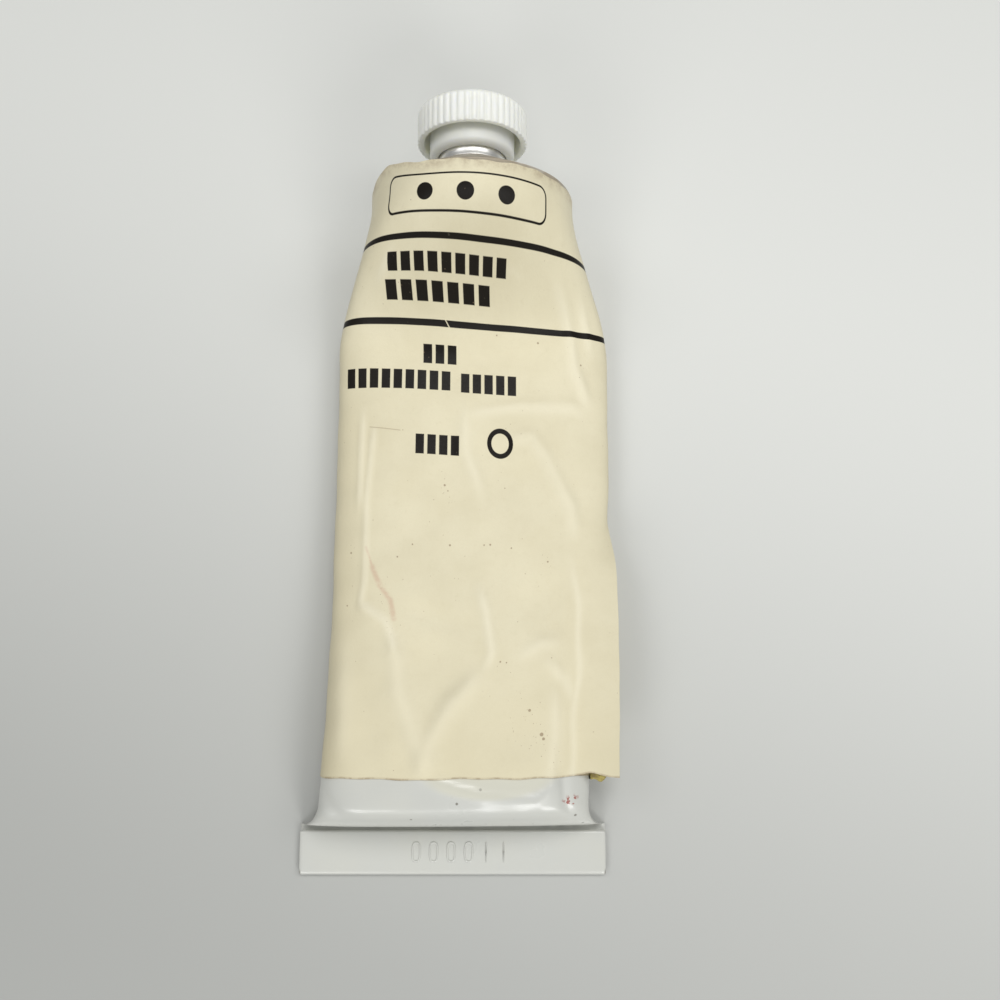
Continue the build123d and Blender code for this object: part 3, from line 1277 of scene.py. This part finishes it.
@dataclass(frozen=True)
class Frame:
    """A thin printed line round a plain box with round corners.

    Attributes:
        u: its middle round the tube.
        v: its middle along the tube.
        across: half its width.
        along: half its height.
        corner: corner radius.
        half: half the line's thickness.
    """

    u: float
    v: float
    across: float
    along: float
    corner: float
    half: float

    def mask(self, u: Field, v: Field) -> Field:
        """1 where it prints."""
        du = (abs(u - self.u) - (self.across - self.corner)).most(0.0)
        dv = (abs(v - self.v) - (self.along - self.corner)).most(0.0)
        away = (du * du + dv * dv).root() - self.corner
        return abs(away).step(self.half + INK_EDGE, self.half - INK_EDGE)


@dataclass(frozen=True)
class Streak:
    """A thin line on the paper, such as a scratch or a stain that has run.

    Attributes:
        start: one end, as (round, along).
        end: the other end.
        half: half its width.
        soft: how far its edge fades.
    """

    start: tuple[float, float]
    end: tuple[float, float]
    half: float
    soft: float

    def mask(self, u: Field, v: Field) -> Field:
        """1 on the line."""
        du, dv = self.end[0] - self.start[0], self.end[1] - self.start[1]
        pu, pv = u - self.start[0], v - self.start[1]
        t = ((pu * du + pv * dv) / (du * du + dv * dv)).most(0.0).least(1.0)
        pu, pv = pu - t * du, pv - t * dv
        return (pu * pu + pv * pv).root().step(self.half + self.soft, self.half)


PRINT: tuple[Any, ...] = (
    Rule(86.8, 0.29),
    Rule(78.45, 0.41),
    Frame(-0.4, 90.9, 11.6, 1.95, 1.2, 0.12),
    Disc(-5.9, 90.9, 1.15, squash=0.8),
    Disc(-0.4, 90.9, 1.15, squash=0.8),
    Disc(5.1, 90.9, 1.15, squash=0.8),
    Word(-11.5, 83.6, 17.5, 1.8, 9),
    Word(-12.1, 80.75, 15.8, 2.05, 7),
    Word(-7.1, 72.9, 5.5, 2.8, 3),
    Word(-18.8, 68.9, 16.3, 2.9, 9),
    Word(-1.4, 68.75, 8.8, 2.9, 5),
    Word(-8.1, 59.4, 7.0, 2.9, 4),
    Disc(4.75, 61.6, 1.95, 1.3, 1.12),
)

SCUFFS: tuple[Streak, ...] = (
    Streak((-4.6, 42.2), (-1.0, 41.8), 0.1, 0.8),
    Streak((-13.8, 23.4), (-12.7, 23.3), 0.1, 0.5),
    Streak((9.4, 25.4), (12.9, 19.8), 0.3, 1.6),
    Streak((-3.9, 56.6), (-2.8, 52.6), 0.3, 1.0),
    Streak((-12.0, 40.0), (-9.6, 33.8), 0.2, 1.2),
    Streak((-18.4, 46.0), (-15.4, 45.6), 0.0, 0.5),
    Streak((11.6, 45.6), (12.4, 43.6), 0.1, 0.8),
    Streak((8.0, 21.0), (15.0, 17.0), 0.2, 2.2),
)

SPECKS: tuple[Disc, ...] = (
    Disc(-3.4, 55.0, 0.16),
    Disc(-2.9, 54.2, 0.1),
    Disc(-2.3, 46.4, 0.15),
    Disc(3.6, 46.8, 0.14),
    Disc(2.7, 46.7, 0.11),
    Disc(-9.9, 44.4, 0.12),
    Disc(12.2, 44.8, 0.13),
    Disc(5.9, 30.4, 0.13),
    Disc(6.8, 30.3, 0.1),
    Disc(10.6, 23.8, 0.2),
    Disc(12.6, 20.5, 0.26),
    Disc(12.9, 19.9, 0.2),
    Disc(-16.9, 44.8, 0.14),
    Disc(10.5, 76.9, 0.15),
    Disc(17.0, 74.1, 0.14),
    Disc(19.3, 91.2, 0.16),
)


# --- finishes -------------------------------------------------------------------------------


@dataclass(frozen=True)
class PaperFinish:
    """Aged cream paper with a faint sheen, black print, stains, scuffs and specks, painted highlights
    on its ridges and painted shade down its left flank.
    """

    label: PaperLabel
    cream: Colour = (0.735, 0.68, 0.497)
    shade: Colour = (0.63, 0.57, 0.393)
    ink: Colour = (0.010, 0.008, 0.006)
    rubbed: Colour = (0.82, 0.77, 0.60)
    dirt: Colour = (0.30, 0.22, 0.14)
    rust: Colour = (0.56, 0.36, 0.26)

    def material(self) -> bpy.types.Material:
        """Builds the material on the sheet's own flat map."""
        g = Graph("aged_paper")
        flat = g.node("ShaderNodeUVMap", {"uv_map": "Flat"}, {}).outputs[0]
        fu, fv, _ = g.axes(flat)
        u = fu * (self.label.end_low - self.label.start) + self.label.start
        v = fv * (self.label.high - self.label.low) + self.label.low
        at = g.node("ShaderNodeCombineXYZ", {}, {0: u, 1: v}).outputs[0]
        cloudy = g.noise(at, 0.09, 4.0, 0.6).step(0.3, 0.75)
        mottle = g.noise(at, 0.8, 6.0, 0.75)
        fibre = g.noise(at, 2.6, 4.0, 0.7)
        colour = g.blend(cloudy * 0.5, self.cream, self.shade)
        grain = g.noise(at, 5.5, 3.0, 0.8)
        uneven = mottle.step(0.5, 0.85) * 0.5 + (fibre - 0.5) * 0.35 + (grain - 0.5) * 0.55 + 0.1
        colour = g.blend(uneven.most(0.0), colour, self.shade)
        # Darker towards the label's low edge, and painted shade down its left flank.
        low_darkening_and_painted_shade_left = v.step(36.0, 15.0) * 0.4 + u.step(-11.0, -19.0) * v.step(82.0, 60.0) * 0.6
        colour = g.blend(low_darkening_and_painted_shade_left, colour, self.shade)
        grime = g.noise(at, 0.55, 5.0, 0.7)
        brim = v.step(92.6, 94.9) * (grime.step(0.36, 0.7) * 0.5 + 0.1)
        # The hem's dark line is partly dirt and partly a painted shadow of the gap under the paper's
        # low edge.
        hem = v.step(14.95, 14.65) * (0.25 + grime.step(0.4, 0.6) * 0.5)
        colour = g.blend(brim.most(hem), colour, self.dirt)
        run = self.stain(u, v) * grime.step(0.3, 0.55)
        colour = g.blend(run * 0.5, colour, self.rust)
        # Lighter along ridges and the loose end's crease: partly rubbed paper, partly painted
        # highlight.
        worn = g.axes(g.node("ShaderNodeUVMap", {"uv_map": "Wear_and_highlight"}, {}).outputs[0])[0]
        colour = g.blend(worn * (0.3 + mottle * 0.5), colour, self.rubbed)
        ink = self.printed(g, u, v, at)
        colour = g.blend(ink, colour, self.ink)
        patch = grime.step(0.5, 0.6)
        spots = g.specks(at, 0.2, 0.03).most(g.specks(at, 0.9, 0.07) * patch)
        for speck in SPECKS:
            spots = spots.most(speck.mask(u, v))
        marks = spots.most(self.scuffs(g, u, v, at))
        colour = g.blend(marks * 0.75, colour, self.dirt)
        g.set(Base_Color=colour, Roughness=0.36 + (fibre - 0.5) * 0.3 + mottle * 0.12, IOR=1.45,
              Specular_IOR_Level=0.16)
        g.bump(fibre * 0.5 + mottle * 0.5 + ink * 0.3 - marks * 0.5, 0.00004)
        return g.material

    @staticmethod
    def stain(u: Field, v: Field) -> Field:
        """A thin stain that has run down beside a crease."""
        path = ((-14.6, 45.6), (-13.5, 42.9), (-12.2, 40.4), (-10.5, 38.4), (-9.8, 35.9))
        mask = Streak(path[0], path[1], 0.0, 0.3).mask(u, v)
        for start, end in zip(path[1:], path[2:]):
            mask = mask.most(Streak(start, end, 0.06, 0.55).mask(u, v))
        return mask

    @staticmethod
    def printed(g: Graph, u: Field, v: Field, at: bpy.types.NodeSocket) -> Field:
        """How much ink lies at each place: the print, rubbed off in a few scratches."""
        ink = PRINT[0].mask(u, v)
        for shape in PRINT[1:]:
            ink = ink.most(shape.mask(u, v))
        worn = g.noise(at, 1.4, 5.0, 0.75).step(0.28, 0.36)
        scratch = Streak((-3.6, 79.3), (-2.8, 78.0), 0.02, 0.1).mask(u, v)
        return ink * (0.9 + worn * 0.1) * (1 - scratch)

    @staticmethod
    def scuffs(g: Graph, u: Field, v: Field, at: bpy.types.NodeSocket) -> Field:
        """A fine scratch, and dirt rubbed in as crumbs."""
        crumbs = g.specks(at, 1.9, 0.13)
        marks = SCUFFS[0].mask(u, v)
        for scuff in SCUFFS[1:]:
            marks = marks.most(scuff.mask(u, v))
        scratch = Streak((-14.8, 63.1), (-10.2, 62.7), 0.0, 0.12).mask(u, v)
        return (marks * crumbs).most(scratch * 0.7)


@dataclass(frozen=True)
class EnamelFinish:
    """White lacquer on soft metal, darker in the corner above the ledge, with dirt at the fold's ends
    and a few specks.
    """

    place: Place
    white: Colour = (0.57, 0.575, 0.535)
    varnish: Colour = (0.64, 0.62, 0.49)
    dirt: Colour = (0.16, 0.15, 0.12)
    rust: Colour = (0.30, 0.05, 0.03)

    def material(self) -> bpy.types.Material:
        """Builds the material on object coordinates."""
        g = Graph("white_enamel")
        at = g.place()
        x, y, _ = g.axes(at)
        x, y = (x - self.place.home.x) / MM, (y - self.place.home.y) / MM
        cloud = g.noise(at, 120.0, 4.0)
        colour = g.blend(cloud.step(0.35, 0.8) * 0.12, self.white, self.varnish)
        du, dv = (x - 5.4) / 9.6, (y - 15.2) / 3.6
        varnish = (du * du + dv * dv).root().step(1.05, 0.8) * y.step(9.0, 11.0)
        colour = g.blend(varnish * 0.55, colour, self.varnish)
        # Darker, broken up, in the corner where the swelling meets the ledge.
        corner = abs(y - 7.0).step(0.9, 0.1) * g.noise(at, 420.0, 4.0).step(0.42, 0.7)
        specks = g.specks(at, 330.0, 0.085) * y.step(5.0, 5.8) * y.step(15.0, 12.0)
        crumbs = g.specks(at, 1100.0, 0.2) * abs(y - 7.7).step(0.6, 0.3)
        crumbs = crumbs * g.noise(at, 300.0, 2.0).step(0.5, 0.58)
        ends = abs(x).step(21.6, 21.9) * y.step(1.1, 0.3)
        marks = (corner * 0.35).most(specks * 0.85).most(crumbs * 0.8).most(ends * 0.9)
        colour = g.blend(marks, colour, self.dirt)
        du, dv = (x - 16.6) / 1.7, (y - 11.3) / 1.2
        patch = (du * du + dv * dv).root().step(1.0, 0.4) * g.noise(at, 1500.0, 3.0).step(0.56, 0.62)
        colour = g.blend(patch * 0.9, colour, self.rust)
        g.set(Base_Color=colour, Roughness=0.24 + cloud * 0.1, IOR=1.5, Coat_Weight=0.35,
              Coat_Roughness=0.12)
        g.bump(g.noise(at, 700.0, 2.0) * 0.5, 0.00003, 0.6)
        return g.material


@dataclass(frozen=True)
class BareMetalFinish:
    """Bare aluminium, turned and a little oxidised, with brown dirt where it meets the label."""

    place: Place
    metal: Colour = (0.91, 0.90, 0.87)
    dull: Colour = (0.62, 0.60, 0.55)
    dirt: Colour = (0.34, 0.29, 0.215)

    def material(self) -> bpy.types.Material:
        """Builds the material on object coordinates."""
        g = Graph("bare_aluminium")
        at = g.place()
        _, y, z = g.axes(at)
        y = (y - self.place.home.y) / MM
        rings = g.noise(g.place((0.02, 1.0, 0.02)), 4000.0, 3.0)
        cloud = g.noise(at, 260.0, 4.0)
        colour = g.blend(cloud.step(0.35, 0.7) * 0.6, self.metal, self.dull)
        upper = 0.25 + z.step(0.013, 0.021) * 0.75
        grime = y.step(100.05, 99.7) * upper * (0.75 + cloud.step(0.3, 0.6) * 0.25)
        colour = g.blend(grime, colour, self.dirt)
        g.set(Base_Color=colour, Metallic=1.0 - grime, Roughness=0.32 + rings * 0.14 + grime * 0.3)
        g.bump(rings, 0.00002, 0.5)
        return g.material


@dataclass(frozen=True)
class PlasticFinish:
    """White moulded plastic, slightly see-through, grubby in clouds."""

    white: Colour = (0.90, 0.91, 0.815)
    grubby: Colour = (0.78, 0.77, 0.66)
    glow: Colour = (0.0028, 0.0027, 0.0021)

    def material(self) -> bpy.types.Material:
        """Builds the material on object coordinates."""
        g = Graph("white_plastic")
        at = g.place()
        cloud = g.noise(at, 180.0, 4.0)
        colour = g.blend(cloud.step(0.45, 0.8) * 0.25, self.white, self.grubby)
        g.set(Base_Color=colour, Roughness=0.3 + cloud * 0.14, IOR=1.49, Subsurface_Weight=0.6,
              Subsurface_Radius=self.glow, Subsurface_Scale=1.0)
        g.bump(g.noise(at, 2600.0, 2.0) * 0.4 + cloud * 0.6, 0.00002, 0.5)
        return g.material


@dataclass(frozen=True)
class PasteFinish:
    """Opaque white paint, matt where it has dried."""

    white: Colour = (0.86, 0.86, 0.83)
    dry: Colour = (0.78, 0.76, 0.69)

    def material(self) -> bpy.types.Material:
        """Builds the material on object coordinates."""
        g = Graph("white_gouache")
        at = g.place()
        crust = g.noise(at, 900.0, 4.0)
        colour = g.blend(crust.step(0.5, 0.8) * 0.4, self.white, self.dry)
        g.set(Base_Color=colour, Roughness=0.55 + crust * 0.2)
        g.bump(crust, 0.00008)
        return g.material


@dataclass(frozen=True)
class GlueFinish:
    """Dried olive-yellow glue."""

    fresh: Colour = (0.40, 0.33, 0.09)
    dark: Colour = (0.16, 0.12, 0.035)

    def material(self) -> bpy.types.Material:
        """Builds the material on object coordinates."""
        g = Graph("dried_glue")
        cloud = g.noise(g.place(), 1300.0, 4.0)
        colour = g.blend(cloud.step(0.35, 0.65), self.fresh, self.dark)
        g.set(Base_Color=colour, Roughness=0.3 + cloud * 0.3)
        g.bump(cloud, 0.00008)
        return g.material


@dataclass(frozen=True)
class TableFinish:
    """Plain pale board, with painted shade that darkens it towards -y and a little towards -x."""

    grey: Colour = (0.66, 0.667, 0.635)
    far: Colour = (0.385, 0.39, 0.37)

    def material(self) -> bpy.types.Material:
        """Builds the material on object coordinates."""
        g = Graph("pale_board")
        at = g.place()
        x, y, _ = g.axes(at)
        cloud = g.noise(at, 9.0, 4.0)
        # Painted shade: the board darkens towards -y and a little towards -x, where the light falls
        # off.
        painted_falloff = (x * 0.35 + y * 0.9 + cloud * 0.01).step(0.055, -0.085)
        colour = g.blend(painted_falloff, self.grey, self.far)
        g.set(Base_Color=colour, Roughness=0.5)
        return g.material


# --- studio ---------------------------------------------------------------------------------


@dataclass(frozen=True)
class Softbox:
    """A square area light that looks at the object.

    Attributes:
        at: its place in metres.
        size: side of the square.
        power: in watts.
    """

    at: tuple[float, float, float]
    size: float
    power: float

    def add(self, name: str) -> None:
        """Hangs the light."""
        data = bpy.data.lights.new(name, "AREA")
        data.size, data.energy = self.size, self.power
        light = bpy.data.objects.new(name, data)
        light.location = self.at
        light.rotation_euler = (-Vector(self.at)).to_track_quat("-Z", "Y").to_euler()
        bpy.context.scene.collection.objects.link(light)


@dataclass
class Studio:
    """Floor, soft lights and the camera that looks down on the tube.

    Attributes:
        place: where the tube stands in the model.
        camera_at: the camera's place, in the tube's own frame.
        camera_tip: degrees that it is tipped towards the cap.
        lens: its focal length.
        sensor: its width.
        sky: colour of the light from all sides.
        world: strength of that light.
        floor: half the floor's width, in metres.
        boxes: the lights.
    """

    place: Place
    camera_at: tuple[float, float, float] = (6.8, 33.0, 150.9)
    camera_tip: float = 8.0
    lens: float = 36.29
    sensor: float = 36.0
    sky: Colour = (0.97, 0.985, 1.0)
    world: float = 0.26
    floor: float = 3.0
    boxes: tuple[Softbox, ...] = (
        Softbox((0.05, 0.20, 0.47), 0.20, 0.80),
        Softbox((0.30, 0.14, 0.42), 0.22, 0.54),
        Softbox((-0.28, 0.16, 0.42), 0.22, 0.36),
        Softbox((0.20, -0.40, 0.32), 0.24, 1.08),
        Softbox((-0.20, -0.40, 0.32), 0.24, 0.74),
    )

    def build(self) -> None:
        """Makes the surroundings."""
        bm = bmesh.new()
        bmesh.ops.create_grid(bm, x_segments=1, y_segments=1, size=self.floor)
        floor = finish_mesh(bm, "floor", outward=False)
        floor.data.materials.append(TableFinish().material())
        scene = bpy.context.scene
        scene.view_settings.view_transform = "Standard"
        scene.world = bpy.data.worlds.new("studio")
        scene.world.use_nodes = True
        background = scene.world.node_tree.nodes["Background"]
        background.inputs[0].default_value = (*self.sky, 1.0)
        background.inputs[1].default_value = self.world
        for number, box in enumerate(self.boxes):
            box.add(f"softbox_{number}")
        self.add_camera(scene)

    def add_camera(self, scene: bpy.types.Scene) -> None:
        """Puts the camera above the tube, tipped a little towards the cap."""
        data = bpy.data.cameras.new("camera")
        data.sensor_width, data.lens = self.sensor, self.lens
        data.clip_start, data.clip_end = 0.005, 20.0
        camera = bpy.data.objects.new("camera", data)
        camera.location = Vector(self.camera_at) * MM + self.place.home
        camera.rotation_euler = (math.radians(self.camera_tip), 0, 0)
        scene.collection.objects.link(camera)
        scene.camera = camera


# --- assembly -------------------------------------------------------------------------------

DENTS: tuple[Any, ...] = (
    Crease(((-15.8, 67.0), (-15.9, 56.7), (-16.0, 50.0)), 0.2, 0.9),
    Crease(((-14.0, 64.0), (-14.9, 52.4), (-14.4, 41.0), (-14.8, 38.0), (-12.9, 36.7)),
           0.2, 0.85, 2.0),
    Crease(((-14.9, 39.0), (-14.6, 37.8), (-12.9, 36.7), (-11.0, 35.6), (-9.8, 33.0), (-9.0, 30.5)),
           0.26, 1.1, 2.0),
    Crease(((-10.4, 34.5), (-8.8, 30.3), (-8.2, 26.3), (-6.5, 22.4), (-4.3, 17.2), (-3.4, 13.4)),
           0.5, 2.8, 4.5),
    Crease(((-0.5, 69.0), (-0.5, 60.3), (1.1, 56.7), (3.0, 51.0)), 0.36, 2.0, 6.0),
    Crease(((4.0, 62.0), (9.3, 62.4), (11.5, 59.6), (14.0, 54.6), (15.3, 52.5), (16.3, 47.0)),
           0.42, 2.0),
    Crease(((-1.5, 65.4), (7.7, 67.0), (15.3, 67.3), (18.6, 66.4)), 0.25, 1.7),
    Crease(((1.6, 42.0), (3.3, 37.5), (4.6, 31.6), (3.8, 29.2), (2.8, 28.2)), 0.32, 1.4),
    Crease(((4.4, 30.4), (3.8, 29.2), (1.8, 27.1), (-0.8, 24.4), (-3.2, 19.4), (-3.8, 13.4)),
           0.55, 2.8, 4.5),
    Crease(((7.0, 30.0), (11.6, 32.9), (16.0, 33.0)), 0.2, 1.8),
    Crease(((11.4, 31.6), (15.4, 28.0), (18.0, 23.5)), 0.26, 1.8),
    Crease(((14.0, 28.5), (14.6, 20.0), (14.0, 11.5)), 0.3, 2.0, 5.0),
    Crease(((12.4, 85.4), (14.4, 81.3), (15.4, 77.0), (15.8, 73.3), (18.6, 66.4)), 0.36, 1.6),
    Crease(((17.0, 84.0), (18.8, 74.5)), 0.2, 1.3),
    Crease(((-9.6, 86.8), (-13.6, 81.8)), 0.22, 1.3, 3.0),
    Crease(((-17.0, 36.0), (-16.2, 24.8), (-15.2, 12.5)), 0.26, 3.4, 9.0),
    Crease(((-11.5, 38.6), (-4.0, 36.2), (3.5, 34.6)), -0.28, 3.0, 6.0),
    Crease(((5.4, 84.5), (7.0, 84.3), (8.6, 83.5)), 0.09, 0.8, 1.2),
    Crease(((-20.0, 14.0), (-15.0, 9.5), (-11.0, 7.6)), -0.3, 2.0),
    Crease(((-4.0, 14.6), (5.0, 12.2), (12.5, 11.6), (16.2, 14.4)), 0.35, 1.6, 3.0),
    Crease(((15.9, 16.5), (16.8, 11.0), (19.2, 8.0)), -0.3, 1.4, 2.5),
    Dent(7.5, 57.0, 8.0, 8.5, 0.6, 20.0),
    Dent(-4.0, 29.5, 6.0, 8.5, 0.5, 25.0),
    Dent(10.5, 38.0, 6.5, 7.0, 0.35),
    Dent(-7.0, 50.0, 8.0, 9.0, 0.35),
    Dent(8.5, 20.5, 7.5, 5.5, 0.4),
    Dent(-12.0, 21.0, 4.0, 9.0, 0.3, 8.0),
    Dent(-4.0, 73.0, 13.0, 5.0, 0.3),
)


def main() -> None:
    """Builds the tube, its paint, label and cap, and the studio round them."""
    logging.basicConfig(level=logging.INFO, format="%(name)s: %(message)s")
    form = TubeForm(dents=DENTS)
    place = Place.from_frame(form)
    Studio(place).build()
    metal = MetalTube(form, place)
    label = PaperLabel(form, place)
    jobs: tuple[tuple[Callable[[], bpy.types.Object], Body, str, Slot, tuple[Any, ...]], ...] = (
        (metal.build, Body.TUBE, "tube", Slot.METAL, (EnamelFinish(place), BareMetalFinish(place))),
        (PaintCharge(metal).build, Body.TUBE, "paint", Slot.PAINT, (PasteFinish(),)),
        (FoldMarks(form, place).build, Body.TUBE, "tube", Slot.METAL, (EnamelFinish(place),)),
        (label.build, Body.TUBE, "label", Slot.PAPER, (PaperFinish(label),)),
        (GlueBead(label).build, Body.TUBE, "label", Slot.PAPER, (GlueFinish(),)),
        (ScrewCap(metal, place).build, Body.CAP, "cap", Slot.PLASTIC, (PlasticFinish(),)),
    )
    for build, body, node, slot, finishes in jobs:
        piece = build()
        for finish in finishes:
            piece.data.materials.append(finish.material())
        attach(piece, body.value)
        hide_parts(node)
        log.info("%s: %d faces on %s", piece.name, len(piece.data.polygons), body.value)
        if piece.name == "paper_label":
            flat = ((label.end_low - label.start) * MM, (label.high - label.low) * MM)


if __name__ == "__main__":
    main()
